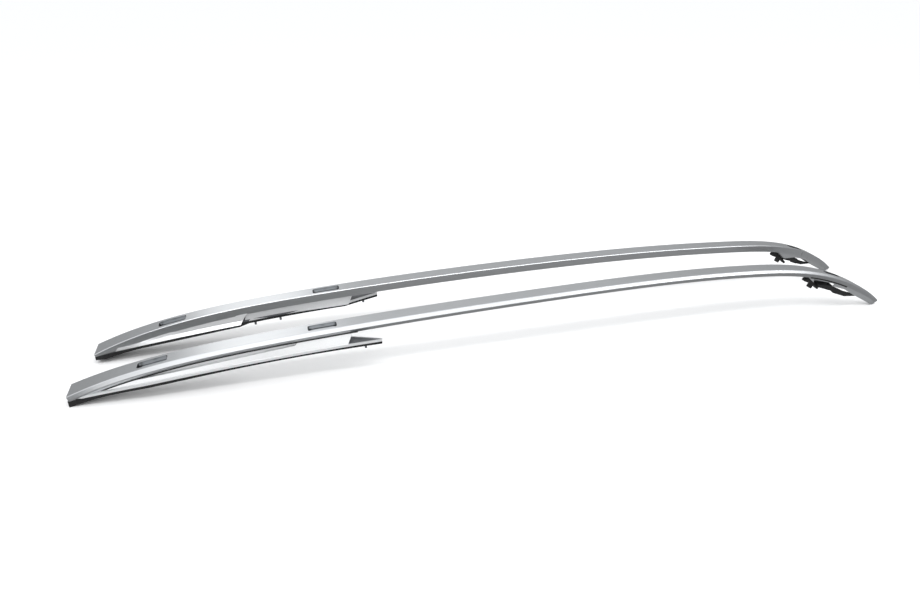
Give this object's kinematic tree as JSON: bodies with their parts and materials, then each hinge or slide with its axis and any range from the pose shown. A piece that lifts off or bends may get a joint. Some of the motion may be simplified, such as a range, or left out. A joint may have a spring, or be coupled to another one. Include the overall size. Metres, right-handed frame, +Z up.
{
  "type": "roof side rail pair",
  "caption": "Pair of raised silver roof side rails, each a bent bar with open bolt pockets on a long front foot and a short rear foot, to carry cross bars on a car roof.",
  "frame": {"origin": "on the floor under the middle of the pair", "axes": "+X along the rails from the front tips to the rear tips, +Y from the left rail to the right one, +Z up"},
  "size_m": [1.8712, 0.227, 0.13],
  "materials": {
    "silver_bar": "satin silver paint",
    "silver_cover": "satin silver paint",
    "cast_seat": "as cast",
    "dark_base": "fine grain",
    "black_rubber": "matt",
    "black_clip": "satin"
  },
  "bodies": {
    "root": {"left_front_bar": "silver_bar", "left_neck_bar": "silver_bar", "left_shoulder_bar": "silver_bar", "left_middle_bar": "silver_bar", "left_back_bar": "silver_bar", "left_rear_bar": "silver_bar", "left_front_pocket_seat": "cast_seat", "left_middle_pocket_seat": "cast_seat", "left_rear_pocket_seat": "cast_seat", "left_front_foot_cover": "silver_cover", "left_front_foot_base": "dark_base", "left_front_foot_gasket": "black_rubber", "left_rear_foot_cover": "silver_cover", "left_rear_foot_pad": "black_rubber", "left_rear_foot_clip": "black_clip", "right_front_bar": "silver_bar", "right_neck_bar": "silver_bar", "right_shoulder_bar": "silver_bar", "right_middle_bar": "silver_bar", "right_back_bar": "silver_bar", "right_rear_bar": "silver_bar", "right_front_pocket_seat": "cast_seat", "right_middle_pocket_seat": "cast_seat", "right_rear_pocket_seat": "cast_seat", "right_front_foot_cover": "silver_cover", "right_front_foot_base": "dark_base", "right_front_foot_gasket": "black_rubber", "right_rear_foot_cover": "silver_cover", "right_rear_foot_pad": "black_rubber", "right_rear_foot_clip": "black_clip"}
  },
  "joints": []
}
